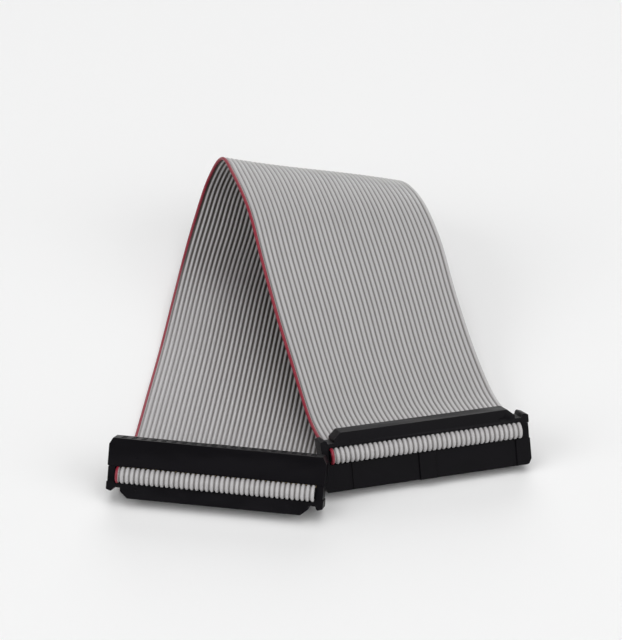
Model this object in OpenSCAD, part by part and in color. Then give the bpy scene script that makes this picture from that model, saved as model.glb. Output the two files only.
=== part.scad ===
// Flat ribbon cable with a two-row insulation-displacement socket crimped on each end.
// The cable runs back along the floor from the raised socket, folds over and comes
// forward again to the lowered socket. Millimetres, +Z up, origin under the middle.

/* [Sockets] */
// Contact columns in each two-row socket
columns = 20; // [8:1:20]
// Socket plastic beyond the edge of the cable
end_margin = 2.1; // [2:0.05:3]
// Socket size from front to back
socket_d = 6.1; // [6:0.1:7.5]
// Height of the body that holds the contacts
body_h = 7.15; // [7:0.05:9]
// Thickness of the cover between the two layers of cable
cover_t = 2.5; // [2.5:0.1:3.5]
// Height of the strain relief's bar
relief_h = 3.65; // [3.5:0.05:5]

/* [Cable] */
// Diameter of each wire over its insulation
wire_d = 0.9; // [0.8:0.02:1]
// Thickness of the web that joins the wires
web_t = 0.3; // [0.2:0.05:0.5]

/* [Layout] */
// Backward lean of the raised socket
left_lean = 29.5; // [20:0.5:35]
// Backward lean of the lowered socket
right_lean = 25.5; // [15:0.5:35]
// Turn of the raised socket about the vertical
left_turn = -7; // [-10:0.5:-4]
// Turn of the lowered socket about the vertical
right_turn = 15; // [11:0.5:17]

/* [Hidden] */
eps = 0.01;

// Standard spacings: wires, and contact columns and rows
wire_pitch = 1.27;
pin_pitch = 2 * wire_pitch;
wires = 2 * columns;

// Socket frame: x along the socket, y from front to back, z up from the mating face
half_cable = wires * wire_pitch / 2;
half_len = half_cable + end_margin;
mid_y = socket_d / 2;
press_z = body_h + wire_d / 2;
cover_z = body_h + wire_d;
exit_z = cover_z + cover_t + wire_d / 2;
relief_z = cover_z + cover_t + wire_d;
socket_h = relief_z + relief_h;

// The cable's turn round the front of the cover
fold_r = (cover_t + wire_d) / 2;
fold_y = 0.3;
fold_z = (press_z + exit_z) / 2;
nose_play = 0.05;

// Socket body: end corners, recessed key side, key and the blocks beside the recess
corner_x = 0.9;
corner_z = 1.7;
recess = 0.5;
key_half = 2.2;
first_block = 7;
last_block = 3.9;
last_block_lift = 0.3;
seam = 0.2;

// Round moulding marks on the plain side of the body and the front of the strain relief
mark_d = 0.9;
mark_depth = 0.1;
mark_x = 20;
body_mark_z = 4.5;
relief_mark_z = relief_z + 1.3;

// Contacts
fork_half = 0.65;
fork_slot_half = 0.17;
fork_t = 0.32;
fork_base_z = 5.6;
fork_top = cover_z + 1.6;
fork_play = 0.03;
pocket_play = 0.05;
beam_half_x = 0.45;
beam_half_y = 0.62;
beam_play = 0.05;
mouth = 0.9;
mouth_wide = 1.5;
mouth_depth = 0.45;
cavity_floor = 0.8;

// Arms that latch the cover to the body and the strain relief to the cover
arm_x = half_cable + 0.35;
arm_t = 0.9;
arm_half_y = 1.3;
arm_end = 3.4;
tie_x = half_cable + 0.45;
tie_t = 0.7;
tie_half_y = 1;
tie_end = cover_z + 0.85;
barb = 0.25;
barb_h = 0.8;
arm_play = 0.05;
post_x = half_cable + 0.05;
post_top = exit_z;
post_half_len = half_len - 0.2;

// Where each socket's back lower edge stands
left_place = [-26, -60, 0];
right_place = [26.5, -46, 0];
left_pose = [left_place, left_turn, left_lean];
right_pose = [right_place, right_turn, right_lean];

// Three lines of the cable's middle surface, at stations along its free run: the distance
// from the raised socket, then the first wire, the middle and the last wire
free_run = 256;
rail_half = 19.5 * wire_pitch;
stations = [
    [6, [-50, -50, 1], [-25, -52.5, 1], [-1, -55.5, 1.5]],
    [17.5, [-48.5, -38.5, 0.5], [-24, -41, 0.5], [0, -44, 0.5]],
    [40.5, [-46, -15.5, 0.5], [-21.5, -18, 0.5], [3, -21, 0.5]],
    [64, [-43.5, 8, 0.5], [-19, 5, 1.5], [5.5, 2, 2.5]],
    [87, [-41, 31, 2.5], [-16.5, 28, 3], [8.5, 25, 3]],
    [104.5, [-39, 48, 4.5], [-14.5, 45.5, 2], [10.5, 42.5, 0.5]],
    [116.5, [-36.5, 57.5, 10.5], [-12.5, 56.5, 4], [11.5, 54, 0.5]],
    [128, [-33, 62.5, 20.5], [-10, 64.5, 11.5], [13.5, 64.5, 3.5]],
    [139.5, [-29, 59, 30], [-6, 64, 22], [17, 68, 14]],
    [151, [-25.5, 48.5, 31.5], [-2, 55.5, 28], [21, 61.5, 22]],
    [168.5, [-20.5, 31.5, 30], [3, 38.5, 28.5], [26.5, 45.5, 26.5]],
    [186, [-16.5, 16, 24], [7.5, 22.5, 23.5], [31.5, 29.5, 23.5]],
    [203.5, [-12, 0.5, 16.5], [12, 7.5, 16.5], [35.5, 14, 16.5]],
    [221, [-7.5, -15, 11], [16, -8.5, 10.5], [40, -2, 10]],
    [238.5, [-3, -31.5, 6.5], [20.5, -25, 7], [44.5, -18.5, 7]],
    [250, [0, -42.5, 7.5], [24, -36, 8], [47.5, -29.5, 8.5]]
];
// Distances of the cable's cross-sections, closest where it bends
ring_steps = [
    for (d = [3 : 5 : 18]) d,
    for (d = [28 : 20 : 88]) d,
    for (d = [100 : 6 : 154]) d,
    for (d = [166 : 20 : 226]) d,
    for (d = [238 : 5 : 253]) d
];

// One side of the cable's outline: a crest over each wire and a valley in each web
cable_edge = half_cable - (wire_pitch - wire_d) / 2;
function ridge(side) = [for (i = [0 : 2 * wires]) let (
        x = i * wire_pitch / 2 - half_cable,
        thick = i % 2 == 0 ? web_t : wire_d
    ) [max(-cable_edge, min(cable_edge, x)), side * thick / 2]];
function reversed(list) = [for (i = [len(list) - 1 : -1 : 0]) list[i]];
section = concat(ridge(1), reversed(ridge(-1)));

// A point of a socket's own frame in the part's frame; the raised socket is upside down
function tilt(p, a) = [p.x, p.y * cos(a) + p.z * sin(a), p.z * cos(a) - p.y * sin(a)];
function turn(p, a) = [p.x * cos(a) - p.y * sin(a), p.x * sin(a) + p.y * cos(a), p.z];
function posed(p, pose) = pose[0] + turn(tilt([p.x, p.y - socket_d, p.z], pose[2]), pose[1]);
function flipped(p) = [p.x, p.y, socket_h - p.z];
function backward(pose) = turn(tilt([0, 1, 0], pose[2]), pose[1]);
function left_exit(x, t, y = socket_d) = posed(flipped([x, y, exit_z - t]), left_pose);
function right_exit(x, t, y = socket_d) = posed([x, y, exit_z - t], right_pose);

// The rails as smooth curves through the stations, leaving each socket straight
rail_x = [-rail_half, 0, rail_half];
track = concat(
    [[0, for (x = rail_x) left_exit(x, 0)]],
    stations,
    [[free_run, for (x = rail_x) right_exit(x, 0)]]);
last = len(track) - 1;
function slope(i, k) = i == 0 ? backward(left_pose)
    : i == last ? -backward(right_pose)
    : (track[i + 1][k] - track[i - 1][k]) / (track[i + 1][0] - track[i - 1][0]);
function leg(d, i = 0) = i == last - 1 || d < track[i + 1][0] ? i : leg(d, i + 1);
function curve(i, k, u, h) = let (
        a = track[i][k],
        b = track[i + 1][k],
        m = slope(i, k) * h,
        n = slope(i + 1, k) * h,
        rise = 3 * u ^ 2 - 2 * u ^ 3
    ) a * (1 - rise) + m * (u ^ 3 - 2 * u ^ 2 + u) + b * rise + n * (u ^ 3 - u ^ 2);
function rail(d, k) = let (
        i = leg(d),
        h = track[i + 1][0] - track[i][0]
    ) curve(i, k, (d - track[i][0]) / h, h);
function unit(v) = v / norm(v);

// One cross-section: the outline carried on the surface through the three rails
function across(r, v) = r[0] * v * (v - 1) / 2 + r[1] * (1 - v ^ 2) + r[2] * v * (v + 1) / 2;
function widthwise(r, v) = r[0] * (v - 0.5) - r[1] * 2 * v + r[2] * (v + 0.5);
function rails_at(d) = [for (k = [1 : 3]) rail(d, k)];
function ring(d) = let (
        here = rails_at(d),
        ahead = rails_at(min(d + 0.5, free_run)),
        behind = rails_at(max(d - 0.5, 0))
    ) [for (p = section) let (
            v = p.x / rail_half,
            along = across(ahead, v) - across(behind, v),
            q = across(here, v) + unit(cross(widthwise(here, v), along)) * p.y
        ) [q.x, q.y, max(q.z, 0)]];
// The first and last cross-sections run straight into the sockets, a hair within the exact ends
inset_width = 0.9995;
inset_height = 0.96;
inset = [for (p = section) [p.x * inset_width, p.y * inset_height]];
inside_y = socket_d - 1;
outside_y = socket_d + 0.03;
function rings() = concat(
    [for (y = [inside_y, outside_y]) [for (p = inset) left_exit(p.x, p.y, y)]],
    [for (d = ring_steps) ring(d)],
    [for (y = [outside_y, inside_y]) [for (p = inset) right_exit(p.x, p.y, y)]]);

// A closed solid through the cross-sections; each end is closed by a strip of small faces
module sweep(loops) {
    n = len(loops[0]);
    m = len(loops);
    polyhedron(
        points = [for (loop = loops) each loop],
        faces = concat(
            [for (i = [0 : m - 2], j = [0 : n - 1]) let (a = i * n, b = a + n, k = (j + 1) % n)
                each [[a + j, b + j, b + k], [a + j, b + k, a + k]]],
            [for (j = [0 : n / 2 - 2]) each [[j, j + 1, n - 2 - j], [j, n - 2 - j, n - 1 - j]]],
            [for (j = [0 : n / 2 - 2]) let (e = (m - 1) * n)
                each [[e + j, e + n - 2 - j, e + j + 1], [e + j, e + n - 1 - j, e + n - 2 - j]]]
        )
    );
}

// Placing: a socket stands on its back lower edge, leaning back
module stand(pose) {
    translate(pose[0]) rotate([-pose[2], 0, pose[1]]) translate([0, -socket_d, 0]) children();
}
// The raised socket's cover, strain relief and cable keep the fold at the front
module upside_down() {
    translate([0, 0, socket_h]) rotate([0, 180, 0]) children();
}
// The raised socket's body and contacts are turned over, which puts the key at the back
module turned_over() {
    translate([0, socket_d, socket_h]) rotate([180, 0, 0]) children();
}
module at_both_ends() {
    children();
    mirror([1, 0, 0]) children();
}
module upright_plate(points, y, depth) {
    translate([0, y + depth, 0]) rotate([90, 0, 0]) linear_extrude(depth) polygon(points);
}

// Each row of contacts: the odd wires' forks stand on the key side
function row_y(odd) = mid_y + (odd ? -1 : 1) * pin_pitch / 2;
function fork_dx(odd) = (odd ? -1 : 1) * wire_pitch / 2;
function column_x(i) = (i + 0.5) * pin_pitch - half_cable;
module at_each_pin(odd) {
    for (i = [0 : columns - 1]) translate([column_x(i), row_y(odd), 0]) children();
}

// Slots that the forks cut in the web and pockets that they reach into
module fork_slots() {
    prong = fork_half - fork_slot_half;
    for (odd = [true, false], side = [-1, 1]) at_each_pin(odd)
        translate([fork_dx(odd) + side * (fork_slot_half + prong / 2), 0, press_z])
            cube([prong + 2 * fork_play, fork_t + 2 * fork_play, 2 * wire_d], center = true);
}
module fork_pockets() {
    wide = fork_half + pocket_play;
    deep = fork_t / 2 + pocket_play;
    for (odd = [true, false]) at_each_pin(odd)
        translate([fork_dx(odd) - wide, -deep, cover_z - eps])
            cube([2 * wide, 2 * deep, fork_top - cover_z + 2 * pocket_play]);
}

module contact(odd) {
    dx = fork_dx(odd);
    translate([dx, 0, 0]) upright_plate([
        [-fork_half, fork_base_z], [fork_half, fork_base_z], [fork_half, fork_top - 0.4],
        [fork_half - 0.15, fork_top], [fork_slot_half + 0.2, fork_top], [fork_slot_half, fork_top - 0.5],
        [fork_slot_half, body_h - 0.2], [-fork_slot_half, body_h - 0.2], [-fork_slot_half, fork_top - 0.5],
        [-fork_slot_half - 0.2, fork_top], [-fork_half + 0.15, fork_top], [-fork_half, fork_top - 0.4]
    ], -fork_t / 2, fork_t);
    translate([-beam_half_x, 0, 0]) rotate([90, 0, 90]) linear_extrude(2 * beam_half_x) polygon([
        [-beam_half_y, fork_base_z + 0.2], [-beam_half_y, 4.2], [-0.44, 2], [-0.6, 1.1], [-0.4, 1.1],
        [-0.22, 2], [-0.36, 4.2], [-0.36, 4.8], [0.36, 4.8], [0.36, 4.2], [0.22, 2],
        [0.4, 1.1], [0.6, 1.1], [0.44, 2], [beam_half_y, 4.2], [beam_half_y, fork_base_z + 0.2]
    ]);
}
module contact_row(odd) {
    color("gold") at_each_pin(odd) contact(odd);
}

module mark(x, y, z) {
    translate([x, y + mark_depth, z]) rotate([90, 0, 0]) cylinder(h = 2 * mark_depth, d = mark_d, $fn = 24);
}

// The hollow that one contact stands in, open at the top, and its square pin mouth
module cavity(odd) {
    translate([-beam_half_x - beam_play, -beam_half_y - beam_play, cavity_floor])
        cube([2 * (beam_half_x + beam_play), 2 * (beam_half_y + beam_play), body_h]);
    translate([fork_dx(odd) - fork_half - fork_play, -fork_t / 2 - fork_play, fork_base_z])
        cube([2 * (fork_half + fork_play), fork_t + 2 * fork_play, body_h]);
    translate([-mouth / 2, -mouth / 2, -eps]) cube([mouth, mouth, cavity_floor + 2 * eps]);
    translate([0, 0, -eps]) rotate([0, 0, 45])
        cylinder(h = mouth_depth, d1 = mouth_wide * sqrt(2), d2 = mouth * sqrt(2), $fn = 4);
}

module socket_body() {
    difference() {
        upright_plate([
            [-half_len + corner_x, 0], [half_len - corner_x, 0], [half_len, corner_z],
            [half_len, body_h - seam], [half_len - seam, body_h],
            [-half_len + seam, body_h], [-half_len, body_h - seam], [-half_len, corner_z]
        ], 0, socket_d);
        translate([-half_len + first_block, -1, -1])
            cube([half_len - first_block - key_half, 1 + recess, body_h + 2]);
        translate([key_half, -1, -1]) cube([half_len - last_block - key_half, 1 + recess, body_h + 2]);
        translate([half_len - last_block, -1, -1]) cube([last_block + 1, 1 + recess, 1 + last_block_lift]);
        mark(-mark_x, socket_d, body_mark_z);
        for (odd = [true, false]) at_each_pin(odd) cavity(odd);
        at_both_ends() {
            translate([arm_x - arm_play, mid_y - arm_half_y - arm_play, arm_end - arm_play])
                cube([arm_t + 2 * arm_play, 2 * (arm_half_y + arm_play), body_h]);
            translate([arm_x, mid_y - arm_half_y - arm_play, arm_end - arm_play])
                cube([arm_t + barb + arm_play, 2 * (arm_half_y + arm_play), barb_h + 2 * arm_play]);
        }
    }
}

// A latch arm that hangs down from z, with a barb on its outer side
module latch(x, thick, half_y, top, end) {
    upright_plate([
        [x, top], [x, end], [x + thick, end], [x + thick + barb, end + barb],
        [x + thick + barb, end + barb_h], [x + thick, end + barb_h], [x + thick, top]
    ], mid_y - half_y, 2 * half_y);
}

module cover_blank() {
    translate([-post_x - eps, fold_y, cover_z]) cube([2 * (post_x + eps), socket_d - fold_y, cover_t]);
    translate([-half_cable, fold_y, fold_z]) rotate([0, 90, 0])
        cylinder(h = 2 * half_cable, r = cover_t / 2 - nose_play, $fn = 48);
    at_both_ends() {
        upright_plate([
            [post_x, body_h], [post_half_len - seam, body_h], [post_half_len, body_h + seam],
            [post_half_len, post_top - seam], [post_half_len - seam, post_top], [post_x, post_top]
        ], 0, socket_d);
        latch(arm_x, arm_t, arm_half_y, body_h + eps, arm_end);
    }
}
module tie_pockets() {
    at_both_ends() {
        translate([tie_x - arm_play, mid_y - tie_half_y - arm_play, tie_end - arm_play])
            cube([tie_t + 2 * arm_play, 2 * (tie_half_y + arm_play), body_h]);
        translate([tie_x, mid_y - tie_half_y - arm_play, tie_end - arm_play])
            cube([tie_t + barb + arm_play, 2 * (tie_half_y + arm_play), barb_h + 2 * arm_play]);
    }
}

module strain_relief() {
    bar = half_len - 5.5;
    bar_end = half_len - 3.6;
    ear = half_len - 1.9;
    floor_z = socket_h - 2.6;
    at_both_ends() {
        difference() {
            upright_plate([
                [-eps, relief_z], [post_x, relief_z], [post_x, post_top], [half_len - seam, post_top],
                [half_len, post_top + seam], [half_len, socket_h - 2], [half_len - 1.2, socket_h - 1.6],
                [ear + 0.3, socket_h - 1.8], [ear, floor_z], [bar_end, floor_z], [bar_end, socket_h - 1.7],
                [bar, socket_h], [-eps, socket_h]
            ], 0, socket_d);
            mark(mark_x, 0, relief_mark_z);
        }
        latch(tie_x, tie_t, tie_half_y, post_top + eps, tie_end);
    }
}

// The end of the cable: in under the strain relief, round the cover and back over the forks
module cable_end() {
    flat = [for (p = section) [p.x, p.y]];
    for (z = [press_z, exit_z]) translate([0, socket_d, z]) rotate([90, 0, 0])
        linear_extrude(socket_d - fold_y) polygon(flat);
    translate([0, fold_y, fold_z]) mirror([0, 1, 0]) rotate([0, 90, 0])
        rotate_extrude(angle = 180, $fn = 96) polygon([for (p = section) [fold_r + p.y, p.x]]);
}

module ribbon() {
    color([0.6, 0.6, 0.62]) {
        sweep(rings());
        stand(left_pose) difference() {
            upside_down() cable_end();
            turned_over() fork_slots();
        }
        stand(right_pose) difference() {
            cable_end();
            fork_slots();
        }
    }
}

plastic = [0.1, 0.1, 0.1];
module left_socket_body() { color(plastic) stand(left_pose) turned_over() socket_body(); }
module left_cover() {
    color(plastic) stand(left_pose) difference() {
        upside_down() cover_blank();
        upside_down() tie_pockets();
        turned_over() fork_pockets();
    }
}
module left_strain_relief() { color(plastic) stand(left_pose) upside_down() strain_relief(); }
module left_contacts_odd() { stand(left_pose) turned_over() contact_row(true); }
module left_contacts_even() { stand(left_pose) turned_over() contact_row(false); }
module right_socket_body() { color(plastic) stand(right_pose) socket_body(); }
module right_cover() {
    color(plastic) stand(right_pose) difference() {
        cover_blank();
        tie_pockets();
        fork_pockets();
    }
}
module right_strain_relief() { color(plastic) stand(right_pose) strain_relief(); }
module right_contacts_odd() { stand(right_pose) contact_row(true); }
module right_contacts_even() { stand(right_pose) contact_row(false); }

ribbon();
left_socket_body();
left_cover();
left_strain_relief();
left_contacts_odd();
left_contacts_even();
right_socket_body();
right_cover();
right_strain_relief();
right_contacts_odd();
right_contacts_even();
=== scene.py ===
"""Looks of a folded ribbon cable with two sockets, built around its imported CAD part."""

from math import cos, pi, radians, sin

import bmesh
import bpy
from bpy.props import FloatProperty, FloatVectorProperty, IntProperty, PointerProperty
from mathutils import Matrix, Vector


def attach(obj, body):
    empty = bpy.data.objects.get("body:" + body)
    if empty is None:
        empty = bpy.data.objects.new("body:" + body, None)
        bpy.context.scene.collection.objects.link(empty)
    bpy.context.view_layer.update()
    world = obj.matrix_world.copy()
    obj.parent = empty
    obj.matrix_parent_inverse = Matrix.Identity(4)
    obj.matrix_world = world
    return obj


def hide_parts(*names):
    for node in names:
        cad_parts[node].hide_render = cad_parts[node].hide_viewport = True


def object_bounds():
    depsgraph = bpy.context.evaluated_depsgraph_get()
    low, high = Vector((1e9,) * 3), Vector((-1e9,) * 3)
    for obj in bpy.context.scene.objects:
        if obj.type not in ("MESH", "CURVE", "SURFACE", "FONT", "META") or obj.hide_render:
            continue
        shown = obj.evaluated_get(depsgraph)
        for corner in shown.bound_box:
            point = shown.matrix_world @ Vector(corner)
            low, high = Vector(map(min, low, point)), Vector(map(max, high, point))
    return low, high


bl_info = {
    "name": "Ribbon Cable",
    "version": (1, 0, 0),
    "blender": (4, 5, 0),
    "location": "View3D > Sidebar > Ribbon Cable",
    "description": "Flat ribbon cable with a crimped socket on each end",
    "category": "Add Mesh",
}

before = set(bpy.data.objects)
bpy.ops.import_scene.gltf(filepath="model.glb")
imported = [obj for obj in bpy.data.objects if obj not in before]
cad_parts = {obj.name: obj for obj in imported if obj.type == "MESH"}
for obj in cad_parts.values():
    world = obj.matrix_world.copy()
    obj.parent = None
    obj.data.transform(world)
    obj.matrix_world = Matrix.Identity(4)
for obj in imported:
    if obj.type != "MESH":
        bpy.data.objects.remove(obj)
cad_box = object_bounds()

# Places are worked out in millimetres, and become metres where a mesh is made
MM = 0.001
WIRES = 40
WIRE_PITCH = 1.27
WIRE_D = 0.9

# The socket's own frame: x along it, y from front to back, z up from its mating face
HALF_CABLE = WIRES * WIRE_PITCH / 2
HALF_LEN = HALF_CABLE + 2.1
SOCKET_D = 6.1
BODY_H = 7.15
COVER_T = 2.5
RELIEF_H = 3.65

# The middle of the cable where it is pressed on the contacts, and where it leaves over the cover
PRESS_Z = BODY_H + WIRE_D / 2
EXIT_Z = BODY_H + WIRE_D + COVER_T + WIRE_D / 2
SOCKET_H = EXIT_Z + WIRE_D / 2 + RELIEF_H

# The cable's turn round the front of the cover, its steps, and the depths at which the cable has
# its cross-sections before and after it
FOLD_R = (COVER_T + WIRE_D) / 2
FOLD_Y = 0.3
FOLD_Z = (PRESS_Z + EXIT_Z) / 2
FOLD_STEPS = 18
PRESSED_Y = (SOCKET_D, 4, 2, FOLD_Y)
LEAVING_Y = (FOLD_Y, 2, 4, 5.5)

# The body's key side: how far its wall is set back between its blocks, the first block's length,
# where the fine groove beside that block starts, and how far the groove's sides lean
RECESS = 0.5
FIRST_BLOCK = 7
SCORE_X = -HALF_LEN + FIRST_BLOCK + 0.5
SCORE_LEAN = 0.02

# Copper strands, six round one in each wire: spacing, radius, radius of the cut tip, and length
STRAND_PITCH = 0.127
STRAND_R = 0.06
STRAND_TIP_R = 0.055
STRAND_LEN = 0.08

# Where each socket's back lower edge stands, its turn about the vertical and its backward lean
LEFT_POSE = (Vector((-26, -60, 0)), radians(-7), radians(29.5))
RIGHT_POSE = (Vector((26.5, -46, 0)), radians(15), radians(25.5))

# The cable's middle surface at stations along its free run: the distance from the left socket,
# then the first wire, the middle and the last wire. Its slope is taken over a short step
FREE_RUN = 256
STATIONS = [
    (6, (-50, -50, 1), (-25, -52.5, 1), (-1, -55.5, 1.5)),
    (17.5, (-48.5, -38.5, 0.5), (-24, -41, 0.5), (0, -44, 0.5)),
    (40.5, (-46, -15.5, 0.5), (-21.5, -18, 0.5), (3, -21, 0.5)),
    (64, (-43.5, 8, 0.5), (-19, 5, 1.5), (5.5, 2, 2.5)),
    (87, (-41, 31, 2.5), (-16.5, 28, 3), (8.5, 25, 3)),
    (104.5, (-39, 48, 4.5), (-14.5, 45.5, 2), (10.5, 42.5, 0.5)),
    (116.5, (-36.5, 57.5, 10.5), (-12.5, 56.5, 4), (11.5, 54, 0.5)),
    (128, (-33, 62.5, 20.5), (-10, 64.5, 11.5), (13.5, 64.5, 3.5)),
    (139.5, (-29, 59, 30), (-6, 64, 22), (17, 68, 14)),
    (151, (-25.5, 48.5, 31.5), (-2, 55.5, 28), (21, 61.5, 22)),
    (168.5, (-20.5, 31.5, 30), (3, 38.5, 28.5), (26.5, 45.5, 26.5)),
    (186, (-16.5, 16, 24), (7.5, 22.5, 23.5), (31.5, 29.5, 23.5)),
    (203.5, (-12, 0.5, 16.5), (12, 7.5, 16.5), (35.5, 14, 16.5)),
    (221, (-7.5, -15, 11), (16, -8.5, 10.5), (40, -2, 10)),
    (238.5, (-3, -31.5, 6.5), (20.5, -25, 7), (44.5, -18.5, 7)),
    (250, (0, -42.5, 7.5), (24, -36, 8), (47.5, -29.5, 8.5)),
]
SLOPE_STEP = 0.5
OUTER_RAIL = (WIRES - 1) / 2 * WIRE_PITCH
RAIL_X = (-OUTER_RAIL, 0, OUTER_RAIL)

# The stretch round the fold that keeps every cross-section, where the rest keeps every other one
FOLD = (103, 161)

# The cable stays a hair above the floor, and a hair inside the back of the CAD's box
FLOOR_Z = 0.02
BACK_Y = cad_box[1][1] / MM - 0.01

# The webs' painted shade: how soon it deepens across the inner side, and how much the outer side
# loses
INNER_GAIN = 2.2
OUTER_LOSS = 0.18

# Where a web's painted shade starts and ends, from a wire's middle at 0 to the web's at 0.5, and
# how much nearer to the wire's middle the deepest painted shade brings both
WEB_START = 0.47
WEB_END = 0.61
WEB_SPREAD = 0.3

# Where the red of the first wire gives way to grey, in wires, and the unit of the run layer
RED_END = (0.7, 0.78)
RUN_UNIT = 100

# The stage, in metres: the floor's half side, where the lights aim, and each square light
# panel's place and side. The sensor's width is in millimetres
FLOOR_HALF = 4
AIM = Vector((0, 0, 0))
PANELS = {
    "top": ((0, -0.2, 2.4), 2.4),
    "left": ((-1.5, -0.9, 1.1), 1.4),
    "right": ((1.5, -0.9, 1.1), 1.4),
    "front": ((0.6, -1.7, 1.0), 1.6),
    "back": ((0, 2, 1), 1.6),
}
CAMERA_PLACE = (-0.004, -0.6329, 0.4468)
CAMERA_TILT = radians(90 - 34.21)
CAMERA_ROLL = radians(1.2)
CAMERA_SHIFT = (0.0056, -0.0033)
CAMERA_CLIP = (0.01, 20)
SENSOR_WIDTH = 36


# ---------------------------------------------------------------- places in the frame


def tilted(p, lean):
    """A point leaned backward about the x axis."""
    y = p[1] * cos(lean) + p[2] * sin(lean)
    return Vector((p[0], y, p[2] * cos(lean) - p[1] * sin(lean)))


def turned(p, turn):
    """A point turned about the vertical."""
    x = p[0] * cos(turn) - p[1] * sin(turn)
    return Vector((x, p[0] * sin(turn) + p[1] * cos(turn), p[2]))


def posed(p, pose):
    """A point of a socket's own frame, in the part's frame."""
    place, turn, lean = pose
    return place + turned(tilted((p[0], p[1] - SOCKET_D, p[2]), lean), turn)


def on_left(x, y, z):
    """A point of the left socket, which stands with its mating face up."""
    return posed((x, y, SOCKET_H - z), LEFT_POSE)


def on_right(x, y, z):
    """A point of the right socket, which stands with its mating face down."""
    return posed((x, y, z), RIGHT_POSE)


def on_left_reversed(x, y, z):
    """A point of the left socket with its depth counted from its key side, which is its back."""
    return on_left(x, SOCKET_D - y, z)


def backward(pose):
    """The direction from a socket's front to its back."""
    return turned(tilted((0, 1, 0), pose[2]), pose[1])


TRACK = (
    [(0, *(on_left(x, SOCKET_D, EXIT_Z) for x in RAIL_X))]
    + [(d, *(Vector(p) for p in points)) for d, *points in STATIONS]
    + [(FREE_RUN, *(on_right(x, SOCKET_D, EXIT_Z) for x in RAIL_X))]
)


def slope(i, k):
    """How rail k runs through station i: straight out of the sockets at both ends."""
    if i == 0:
        return backward(LEFT_POSE)
    if i == len(TRACK) - 1:
        return -backward(RIGHT_POSE)
    return (TRACK[i + 1][k] - TRACK[i - 1][k]) / (TRACK[i + 1][0] - TRACK[i - 1][0])


def rail(d, k):
    """A point of one of the three rails, at a distance along the free run."""
    i = max(j for j in range(len(TRACK) - 1) if TRACK[j][0] <= d)
    h = TRACK[i + 1][0] - TRACK[i][0]
    u = (d - TRACK[i][0]) / h
    a, b = TRACK[i][k], TRACK[i + 1][k]
    m, n = slope(i, k) * h, slope(i + 1, k) * h
    ends = a * (2 * u**3 - 3 * u**2 + 1) + m * (u**3 - 2 * u**2 + u)
    return ends + b * (3 * u**2 - 2 * u**3) + n * (u**3 - u**2)


def across(rails, v):
    """The point at v across the cable, from -1 at the first rail to 1 at the third."""
    return rails[0] * (v * (v - 1) / 2) + rails[1] * (1 - v * v) + rails[2] * (v * (v + 1) / 2)


def widthwise(rails, v):
    """The direction across the cable at v."""
    return rails[0] * (v - 0.5) - rails[1] * (2 * v) + rails[2] * (v + 0.5)


def free_place(d):
    """Where the cable's outline goes at a distance along the free run."""
    here, ahead, behind = (
        [rail(min(max(d + step, 0), FREE_RUN), k) for k in (1, 2, 3)]
        for step in (0, SLOPE_STEP, -SLOPE_STEP)
    )

    def place(x, t):
        v = x / RAIL_X[2]
        along = across(ahead, v) - across(behind, v)
        point = across(here, v) + widthwise(here, v).cross(along).normalized() * t
        point.y = min(point.y, BACK_Y)
        point.z = max(point.z, FLOOR_Z)
        return point

    return place


def end_places(on_socket):
    """The outline's places from the cut end, round the front of the cover and out of the back."""

    def turning(x, t, angle):
        r = FOLD_R - t
        return on_socket(x, FOLD_Y - r * sin(angle), FOLD_Z - r * cos(angle))

    pressed = [lambda x, t, y=y: on_socket(x, y, PRESS_Z + t) for y in PRESSED_Y]
    angles = [pi * i / FOLD_STEPS for i in range(1, FOLD_STEPS)]
    round_front = [lambda x, t, angle=angle: turning(x, t, angle) for angle in angles]
    leaving = [lambda x, t, y=y: on_socket(x, y, EXIT_Z - t) for y in LEAVING_Y]
    return pressed + round_front + leaving


# ---------------------------------------------------------------- shader nodes as expressions


class Socket:
    """A shader value that can be used in a Python expression."""

    def __init__(self, finish, link):
        self.finish = finish
        self.link = link

    def maths(self, operation, *values):
        return self.finish.node("ShaderNodeMath", dict(operation=operation), *values)

    def __add__(self, other):
        return self.maths("ADD", self, other)

    def __radd__(self, other):
        return self.maths("ADD", other, self)

    def __sub__(self, other):
        return self.maths("SUBTRACT", self, other)

    def __rsub__(self, other):
        return self.maths("SUBTRACT", other, self)

    def __mul__(self, other):
        return self.maths("MULTIPLY", self, other)

    def __rmul__(self, other):
        return self.maths("MULTIPLY", other, self)

    def __abs__(self):
        return self.maths("ABSOLUTE", self)

    def fraction(self):
        return self.maths("FRACT", self)

    def floor(self):
        return self.maths("FLOOR", self)

    def ramp(self, low, high, start=0.0, end=1.0):
        """Runs smoothly from start to end as this value goes from low to high."""
        smooth = dict(interpolation_type="SMOOTHSTEP")
        return self.finish.node("ShaderNodeMapRange", smooth, self, low, high, start, end)


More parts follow.
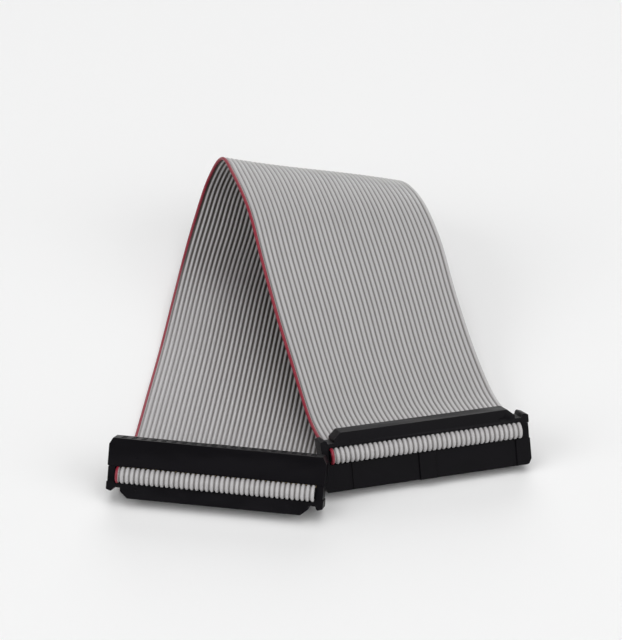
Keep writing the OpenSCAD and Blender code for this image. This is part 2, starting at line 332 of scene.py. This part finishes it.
class Finish:
    """A material whose nodes are made one call at a time."""

    def __init__(self, name, **fixed):
        self.material = bpy.data.materials.new(name)
        self.material.use_nodes = True
        self.nodes = self.material.node_tree.nodes
        self.links = self.material.node_tree.links
        self.shader = self.nodes["Principled BSDF"]
        for socket, value in fixed.items():
            self.shader.inputs[socket.replace("_", " ")].default_value = value

    def node(self, kind, settings, *values, out=0, **named):
        """Adds a node: its settings first, then its sockets in order or by name."""
        made = self.nodes.new(kind)
        for key, value in settings.items():
            setattr(made, key, value)
        by_name = [(made.inputs[key.replace("_", " ")], value) for key, value in named.items()]
        for socket, value in [*zip(made.inputs, values), *by_name]:
            if isinstance(value, Socket):
                self.links.new(value.link, socket)
            elif value is not None:
                socket.default_value = value
        return Socket(self, made.outputs[out])

    def place(self):
        return self.node("ShaderNodeTexCoord", {}, out="Object")

    def attribute(self, name):
        return self.node("ShaderNodeAttribute", dict(attribute_name=name), out="Fac")

    def stretched(self, scale):
        return self.node("ShaderNodeMapping", {}, self.place(), Scale=scale)

    def joined(self, x, y):
        return self.node("ShaderNodeCombineXYZ", {}, x, y, 0.0)

    def noise(self, vector, scale=1.0, detail=3.0, roughness=0.5):
        sockets = dict(Vector=vector, Scale=scale, Detail=detail, Roughness=roughness)
        return self.node("ShaderNodeTexNoise", {}, **sockets)

    def mix(self, factor, a, b):
        """A colour from a to b. A Mix node's two colours come after five sockets of other kinds."""
        skipped = [None] * 5
        return self.node("ShaderNodeMix", dict(data_type="RGBA"), factor, *skipped, a, b, out=2)

    def feed(self, **sockets):
        for key, value in sockets.items():
            self.links.new(value.link, self.shader.inputs[key.replace("_", " ")])

    def bump(self, height, strength, distance):
        sockets = dict(Strength=strength, Distance=distance, Height=height)
        self.feed(Normal=self.node("ShaderNodeBump", {}, **sockets))


def shade(color, k=1):
    """A colour made k times as light, with its alpha."""
    return (*(c * k for c in color[:3]), 1)


def cable_finish(look):
    """Satin vinyl: grey wires with a red first one, and painted shade on the webs between them."""
    f = Finish("cable_vinyl")
    wire = f.attribute("wire")
    run = f.attribute("run")
    # The groove layer holds how deep the painted shade on each web is; the web mask spreads it
    # wider where it is deeper
    groove = f.attribute("groove")
    spread = groove * WEB_SPREAD
    web = abs(wire.fraction() - 0.5).ramp(WEB_START - spread, WEB_END - spread)
    tint = f.node("ShaderNodeTexWhiteNoise", dict(noise_dimensions="1D"), W=wire.floor())
    cloud = f.noise(f.joined(wire * 0.35, run * 14))
    grey = f.mix(tint * 0.35 + cloud * 0.4, shade(look.grey, 0.93), shade(look.grey, 1.07))
    vinyl = f.mix(wire.ramp(*RED_END), shade(look.red), grey)
    # The webs' dark colour is painted shade, laid over the vinyl
    f.feed(
        Base_Color=f.mix(web * groove, vinyl, shade(look.web)),
        Roughness=cloud.ramp(0.3, 0.7, 0.36, 0.5),
    )
    drawn = f.noise(f.joined(wire * 9, run * 60))
    f.bump(drawn, strength=0.25, distance=0.05 * MM)
    return f.material


def plastic_finish(name, color, gloss):
    """Black glass-filled nylon: nearly matte, with a fine grain and a little flow in its gloss."""
    f = Finish(name, Specular_IOR_Level=gloss)
    flow = f.noise(f.stretched((60, 240, 240)))
    f.feed(
        Base_Color=f.mix(flow.ramp(0.3, 0.7), shade(color, 0.85), shade(color, 1.2)),
        Roughness=flow.ramp(0.3, 0.7, 0.38, 0.55),
    )
    grain = f.noise(f.place(), scale=5200, detail=4.0, roughness=0.6)
    f.bump(grain, strength=0.2, distance=0.04 * MM)
    return f.material


def contact_finish(look):
    """Stamped phosphor bronze with a thin gold flash, finely scratched along its length."""
    f = Finish("contact_gold", Metallic=1.0)
    scratch = f.noise(f.stretched((900, 900, 9000)))
    f.feed(
        Base_Color=f.mix(scratch, shade(look.gold, 0.85), shade(look.gold, 1.1)),
        Roughness=scratch.ramp(0.3, 0.7, 0.2, 0.38),
    )
    f.bump(scratch, strength=0.15, distance=0.02 * MM)
    return f.material


def copper_finish(look):
    """Freshly cut copper, duller in spots."""
    f = Finish("strand_copper", Metallic=1.0, Roughness=0.3)
    worn = f.noise(f.place(), scale=6000, detail=2.0)
    f.feed(Base_Color=f.mix(worn, shade(look.dull_copper), shade(look.copper)))
    return f.material


def floor_finish(look):
    """Matt pale paper with a faint tooth."""
    f = Finish("floor_paper", Roughness=0.9)
    tooth = f.noise(f.place(), scale=900)
    f.feed(Base_Color=f.mix(tooth, shade(look.floor, 0.995), shade(look.floor)))
    return f.material


# ---------------------------------------------------------------- meshes


def new_object(name, bm, material):
    """Puts a bmesh that is already in its place in the scene, with one material."""
    mesh = bpy.data.meshes.new(name)
    bm.to_mesh(mesh)
    bm.free()
    mesh.materials.append(material)
    made = bpy.data.objects.new(name, mesh)
    bpy.context.scene.collection.objects.link(made)
    return made


def new_piece(name, bm, material, slot, *nodes):
    """Makes a piece of the part on the root body, and hides the CAD nodes that it stands for."""
    piece = new_object(name, bm, material)
    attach(piece, "root")
    if nodes:
        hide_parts(*nodes)


def paint(node, material):
    """Gives a CAD node its material."""
    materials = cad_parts[node].data.materials
    materials.clear()
    materials.append(material)


def cable_outline(shape):
    """The cable's outline: out along its inner side, then back along its outer one.

    Each point is its place across the cable, its height over the middle, the wire it is on,
    counted from the outer edge of the first wire's share of the width, and whether it is on the
    side that the cable bends towards."""
    r = shape.wire_d / MM / 2
    half_web = shape.web_t / MM / 2
    edge = HALF_CABLE - WIRE_PITCH / 2 + r
    seam = radians(5)
    step = (pi - 2 * seam) / (shape.arc_points - 1)
    angles = [pi - seam - step * i for i in range(shape.arc_points)]
    inner = [(-edge, 0.0)]
    for wire in range(WIRES):
        middle = (wire + 0.5) * WIRE_PITCH - HALF_CABLE
        inner += [(middle + r * cos(a), r * sin(a)) for a in angles]
        inner.append((middle + WIRE_PITCH / 2, half_web))
    inner[-1] = (edge, 0.0)
    points = inner + [(x, -t) for x, t in inner[-2::-1]]
    return [
        (x, t, (x + HALF_CABLE) / WIRE_PITCH, i < len(inner)) for i, (x, t) in enumerate(points)
    ]


def painted_web_shade(shape, run, number, inner):
    """How dark the painted shade on a web is: darkest inside the fold, and nothing at the cable's
    two free edges.
    """
    if not 0.5 < number < WIRES - 0.5:
        return 0
    arch = sin(pi * min(max(run, 0), FREE_RUN) / FREE_RUN)
    # Painted shade deepens towards the middle of the run and across the inner side towards the last
    # wire, where the other leg covers it; on the outer side it fades a little round the fold
    if inner:
        deep = max(arch**6, min(1, INNER_GAIN * arch * number / WIRES))
        return shape.inner_web_shade + (1 - shape.inner_web_shade) * deep
    return shape.outer_web_shade * (1 - OUTER_LOSS * arch**8)


def cable_bmesh(shape):
    """A flat sheet wrapped round the outline and laid along the whole route.

    Its layers hold what the vinyl reads: the wire, the place along the run and the depth of the
    webs' painted shade."""
    left, right = end_places(on_left), end_places(on_right)
    step = shape.ring_step / MM
    steps = [step * i for i in range(1, int(FREE_RUN / step))]
    steps = [d for i, d in enumerate(steps) if FOLD[0] < d < FOLD[1] or i % 2]
    places = left + [free_place(d) for d in steps] + right[::-1]
    before = [i - len(left) for i in range(len(left))]
    after = [FREE_RUN + i for i in range(len(right))]
    runs = before + steps + after
    outline = cable_outline(shape)
    columns, rows = len(outline) - 1, len(places) - 1

    bm = bmesh.new()
    # The groove layer carries the painted shade of the webs
    wire_layer, run_layer, web_shade_layer = (
        bm.verts.layers.float.new(name) for name in ("wire", "run", "groove")
    )
    bmesh.ops.create_grid(bm, x_segments=columns, y_segments=rows, size=1)
    for v in bm.verts:
        column = round((v.co.x + 1) / 2 * columns)
        row = round((v.co.y + 1) / 2 * rows)
        x, t, number, inner = outline[column]
        v[wire_layer] = number
        v[run_layer] = runs[row] / RUN_UNIT
        v[web_shade_layer] = painted_web_shade(shape, runs[row], number, inner)
        v.co = places[row](x, t) * MM
    bmesh.ops.remove_doubles(bm, verts=bm.verts, dist=0.0001 * MM)
    bmesh.ops.holes_fill(bm, edges=[e for e in bm.edges if e.is_boundary])
    bmesh.ops.recalc_face_normals(bm, faces=bm.faces)
    for face in bm.faces:
        face.smooth = True
    return bm


def strand_bmesh(on_socket):
    """The cut copper strands of every wire, a hair proud of the cable's end."""
    bm = bmesh.new()
    ring = [i * pi / 3 for i in range(6)]
    spots = [(0.0, 0.0)] + [(STRAND_PITCH * cos(a), STRAND_PITCH * sin(a)) for a in ring]
    for i in range(WIRES):
        x = (i + 0.5) * WIRE_PITCH - HALF_CABLE
        for dx, dz in spots:
            centre = on_socket(x + dx, SOCKET_D, PRESS_Z + dz)
            axis = on_socket(x + dx, SOCKET_D + 1, PRESS_Z + dz) - centre
            turn = axis.to_track_quat("Z", "Y").to_matrix().to_4x4()
            bmesh.ops.create_cone(
                bm,
                cap_ends=True,
                segments=8,
                radius1=STRAND_R * MM,
                radius2=STRAND_TIP_R * MM,
                depth=STRAND_LEN * MM,
                matrix=Matrix.Translation(centre * MM) @ turn,
            )
    return bm


def score_body(bm, place, shape):
    """Cuts the fine upright groove beside the first block of a body's key side."""
    origin = place(0, 0, 0)
    front = (origin - place(0, 1, 0)).normalized()
    along = (place(1, 0, 0) - origin).normalized()
    width = shape.score / MM
    facing, play = 0.999, 0.05

    def wall(low, high):
        """Faces of the set-back wall whose middle is between two places along the body."""
        found = []
        for face in bm.faces:
            spot = face.calc_center_median() / MM - origin
            set_back = face.normal.dot(front) > facing and abs(spot.dot(front) + RECESS) < play
            if set_back and low < spot.dot(along) < high:
                found.append(face)
        return found

    for x in (SCORE_X, SCORE_X + width):
        faces = wall(-HALF_LEN, 0)
        around = dict.fromkeys(part for face in faces for part in (*face.edges, *face.verts))
        cut = dict(plane_co=place(x, 0, 0) * MM, plane_no=along)
        bmesh.ops.bisect_plane(bm, geom=[*faces, *around], **cut)
    strip = wall(SCORE_X, SCORE_X + width)
    if strip:
        bmesh.ops.inset_region(bm, faces=strip, thickness=SCORE_LEAN * MM, depth=-shape.score)


def moulding_bmesh(node, shape):
    """A merged copy of a CAD moulding with its long sharp edges eased, as a mould leaves them."""
    hair, flat, sharp = 0.001 * MM, radians(0.5), radians(30)
    bm = bmesh.new()
    bm.from_mesh(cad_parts[node].data)
    bmesh.ops.remove_doubles(bm, verts=bm.verts, dist=hair)
    bmesh.ops.dissolve_limit(bm, angle_limit=flat, verts=bm.verts, edges=bm.edges)
    long_edges = [e for e in bm.edges if e.is_manifold and e.calc_length() > shape.eased_from]
    bmesh.ops.bevel(
        bm,
        geom=[e for e in long_edges if e.calc_face_angle() > sharp],
        offset=shape.ease,
        offset_type="OFFSET",
        segments=2,
        profile=0.5,
        affect="EDGES",
        clamp_overlap=False,
        material=-1,
    )
    bmesh.ops.dissolve_degenerate(bm, dist=hair, edges=bm.edges)
    if node == "left_socket_body":
        score_body(bm, on_left_reversed, shape)
    if node == "right_socket_body":
        score_body(bm, on_right, shape)
    bmesh.ops.triangulate(bm, faces=bm.faces)
    bmesh.ops.dissolve_degenerate(bm, dist=hair, edges=bm.edges)
    return bm


def area_light(name, place, power, size):
    """Adds a square light panel that faces the part."""
    data = bpy.data.lights.new(name, "AREA")
    data.energy = power
    data.size = size
    lamp = bpy.data.objects.new(name, data)
    facing = (AIM - Vector(place)).to_track_quat("-Z", "Y").to_matrix().to_4x4()
    lamp.matrix_world = Matrix.Translation(place) @ facing
    bpy.context.scene.collection.objects.link(lamp)


# ---------------------------------------------------------------- settings


class CableShape(bpy.types.PropertyGroup):
    """Sizes of the cable's cross-section and of the sockets' finer details"""

    wire_d: FloatProperty(
        name="Wire",
        description="Diameter of a wire over its insulation",
        default=WIRE_D * MM,
        unit="LENGTH",
        precision=5,
    )
    web_t: FloatProperty(
        name="Web",
        description="Thickness of the web between wires",
        default=0.08 * MM,
        unit="LENGTH",
        precision=5,
    )
    arc_points: IntProperty(
        name="Points",
        description="Points round each wire on each side",
        default=7,
        min=2,
    )
    ring_step: FloatProperty(
        name="Step",
        description="Distance between cross-sections in the fold",
        default=1.6 * MM,
        unit="LENGTH",
        precision=5,
    )
    # How deep the painted shade on the webs is, on each side of the bend
    outer_web_shade: FloatProperty(
        name="Outer webs",
        description="How dark the webs are on the outer side of the bend",
        default=0.7,
        subtype="FACTOR",
    )
    inner_web_shade: FloatProperty(
        name="Inner webs",
        description="How dark the webs are, at the least, on the inner side of the bend",
        default=0.6,
        subtype="FACTOR",
    )
    score: FloatProperty(
        name="Groove",
        description="Width and depth of the groove beside the first block",
        default=0.3 * MM,
        unit="LENGTH",
        precision=5,
    )
    ease: FloatProperty(
        name="Eased edges",
        description="Width of the eased edges of the mouldings",
        default=0.12 * MM,
        unit="LENGTH",
        precision=5,
    )
    eased_from: FloatProperty(
        name="Eased from",
        description="Length of the shortest edge that is eased",
        default=2.0 * MM,
        unit="LENGTH",
        precision=5,
    )


class CableLook(bpy.types.PropertyGroup):
    """Colours and gloss of the materials"""

    grey: FloatVectorProperty(
        name="Cable",
        description="Vinyl of the wires",
        default=(0.506, 0.495, 0.5),
        subtype="COLOR",
    )
    red: FloatVectorProperty(
        name="First wire",
        description="Vinyl of wire 1",
        default=(0.26, 0.012, 0.03),
        subtype="COLOR",
    )
    # Painted shade: the dark warm colour laid on the webs between the wires
    web: FloatVectorProperty(
        name="Webs",
        description="Shaded vinyl between the wires",
        default=(0.062, 0.052, 0.045),
        subtype="COLOR",
    )
    black: FloatVectorProperty(
        name="Sockets",
        description="Moulded plastic",
        default=(0.0036, 0.0031, 0.0044),
        subtype="COLOR",
    )
    gloss: FloatProperty(
        name="Socket gloss",
        description="Specular level of the bodies and covers",
        default=0.1,
        subtype="FACTOR",
    )
    clip_gloss: FloatProperty(
        name="Clip gloss",
        description="Specular level of the strain reliefs",
        default=0.12,
        subtype="FACTOR",
    )
    gold: FloatVectorProperty(
        name="Contacts",
        description="Plating",
        default=(0.85, 0.62, 0.28),
        subtype="COLOR",
    )
    copper: FloatVectorProperty(
        name="Strands",
        description="Bright copper of the cut strands",
        default=(0.9, 0.5, 0.32),
        subtype="COLOR",
    )
    dull_copper: FloatVectorProperty(
        name="Dull strands",
        description="Duller spots of the cut strands",
        default=(0.75, 0.36, 0.2),
        subtype="COLOR",
    )
    floor: FloatVectorProperty(
        name="Floor",
        description="Paper floor",
        default=(0.9, 0.9, 0.9),
        subtype="COLOR",
    )


class Studio(bpy.types.PropertyGroup):
    """Lights and lens of the stage"""

    sky: FloatProperty(
        name="Sky",
        description="Strength of the even light",
        default=0.05,
    )
    top: FloatProperty(
        name="Top",
        description="Power of the overhead panel",
        default=32.5,
        unit="POWER",
    )
    left: FloatProperty(
        name="Left",
        description="Power of the left panel",
        default=15.0,
        unit="POWER",
    )
    right: FloatProperty(
        name="Right",
        description="Power of the right panel",
        default=12.5,
        unit="POWER",
    )
    front: FloatProperty(
        name="Front",
        description="Power of the front panel",
        default=8.0,
        unit="POWER",
    )
    back: FloatProperty(
        name="Back",
        description="Power of the back panel",
        default=20.0,
        unit="POWER",
    )
    lens: FloatProperty(
        name="Lens",
        description="Focal length of the camera",
        default=161.4,
        unit="CAMERA",
    )


# ---------------------------------------------------------------- operators


class RIBBON_OT_cable(bpy.types.Operator):
    """Lay the forty-wire cable along its route, with its turns round both covers"""

    bl_idname = "ribbon.cable"
    bl_label = "Cable"

    def execute(self, context):
        shape, look = context.scene.ribbon_shape, context.scene.ribbon_look
        new_piece("cable", cable_bmesh(shape), cable_finish(look), "cable", "ribbon")
        return {"FINISHED"}


class RIBBON_OT_strands(bpy.types.Operator):
    """Add the cut copper strands at both ends of the cable"""

    bl_idname = "ribbon.strands"
    bl_label = "Strands"

    def execute(self, context):
        copper = copper_finish(context.scene.ribbon_look)
        for side, on_socket in (("left", on_left), ("right", on_right)):
            new_piece(side + "_strand_ends", strand_bmesh(on_socket), copper, "contact")
        return {"FINISHED"}


class RIBBON_OT_sockets(bpy.types.Operator):
    """Remake both sockets' mouldings with eased edges, in black plastic"""

    bl_idname = "ribbon.sockets"
    bl_label = "Sockets"

    def execute(self, context):
        shape, look = context.scene.ribbon_shape, context.scene.ribbon_look
        body = plastic_finish("socket_nylon", look.black, look.gloss)
        clip = plastic_finish("clip_nylon", look.black, look.clip_gloss)
        for side in ("left", "right"):
            for part, plastic in (("socket_body", body), ("cover", body), ("strain_relief", clip)):
                node = side + "_" + part
                new_piece(node + "_moulded", moulding_bmesh(node, shape), plastic, "plastic", node)
        return {"FINISHED"}


class RIBBON_OT_contacts(bpy.types.Operator):
    """Give the contacts their gold flash"""

    bl_idname = "ribbon.contacts"
    bl_label = "Contacts"

    def execute(self, context):
        gold = contact_finish(context.scene.ribbon_look)
        for side in ("left", "right"):
            for row in ("odd", "even"):
                paint(side + "_contacts_" + row, gold)
        return {"FINISHED"}


class RIBBON_OT_stage(bpy.types.Operator):
    """Set up the paper floor, the soft light and the camera"""

    bl_idname = "ribbon.stage"
    bl_label = "Stage"

    def execute(self, context):
        scene = context.scene
        studio = scene.ribbon_studio
        bm = bmesh.new()
        bmesh.ops.create_grid(bm, x_segments=1, y_segments=1, size=FLOOR_HALF)
        new_object("floor", bm, floor_finish(scene.ribbon_look))

        world = bpy.data.worlds.new("even_light")
        world.use_nodes = True
        sky = world.node_tree.nodes["Background"]
        sky.inputs["Color"].default_value = (1, 1, 1, 1)
        sky.inputs["Strength"].default_value = studio.sky
        scene.world = world
        for side, (place, size) in PANELS.items():
            area_light(side + "_panel", place, getattr(studio, side), size)

        data = bpy.data.cameras.new("camera")
        data.lens = studio.lens
        data.sensor_width = SENSOR_WIDTH
        data.clip_start, data.clip_end = CAMERA_CLIP
        data.shift_x, data.shift_y = CAMERA_SHIFT
        camera = bpy.data.objects.new("camera", data)
        camera.matrix_world = (
            Matrix.Translation(CAMERA_PLACE)
            @ Matrix.Rotation(CAMERA_TILT, 4, "X")
            @ Matrix.Rotation(CAMERA_ROLL, 4, "Z")
        )
        scene.collection.objects.link(camera)
        scene.camera = camera
        scene.view_settings.view_transform = "Standard"
        return {"FINISHED"}


class RIBBON_PT_panel(bpy.types.Panel):
    """Lists the settings and the pieces of the cable"""

    bl_label = "Ribbon Cable"
    bl_idname = "RIBBON_PT_panel"
    bl_space_type = "VIEW_3D"
    bl_region_type = "UI"
    bl_category = "Ribbon Cable"

    def draw(self, context):
        for name, cls in GROUPS.items():
            for key in cls.__annotations__:
                self.layout.prop(getattr(context.scene, name), key)
        for operator in OPERATORS:
            self.layout.operator(operator.bl_idname)


GROUPS = dict(ribbon_shape=CableShape, ribbon_look=CableLook, ribbon_studio=Studio)
OPERATORS = (
    RIBBON_OT_cable,
    RIBBON_OT_strands,
    RIBBON_OT_sockets,
    RIBBON_OT_contacts,
    RIBBON_OT_stage,
)
CLASSES = (*GROUPS.values(), *OPERATORS, RIBBON_PT_panel)


def register():
    for cls in CLASSES:
        bpy.utils.register_class(cls)
    for name, cls in GROUPS.items():
        setattr(bpy.types.Scene, name, PointerProperty(type=cls))


def unregister():
    for name in GROUPS:
        delattr(bpy.types.Scene, name)
    for cls in reversed(CLASSES):
        bpy.utils.unregister_class(cls)


def main():
    register()
    bpy.ops.ribbon.cable()
    bpy.ops.ribbon.strands()
    bpy.ops.ribbon.sockets()
    bpy.ops.ribbon.contacts()
    bpy.ops.ribbon.stage()


if __name__ == "__main__":
    main()
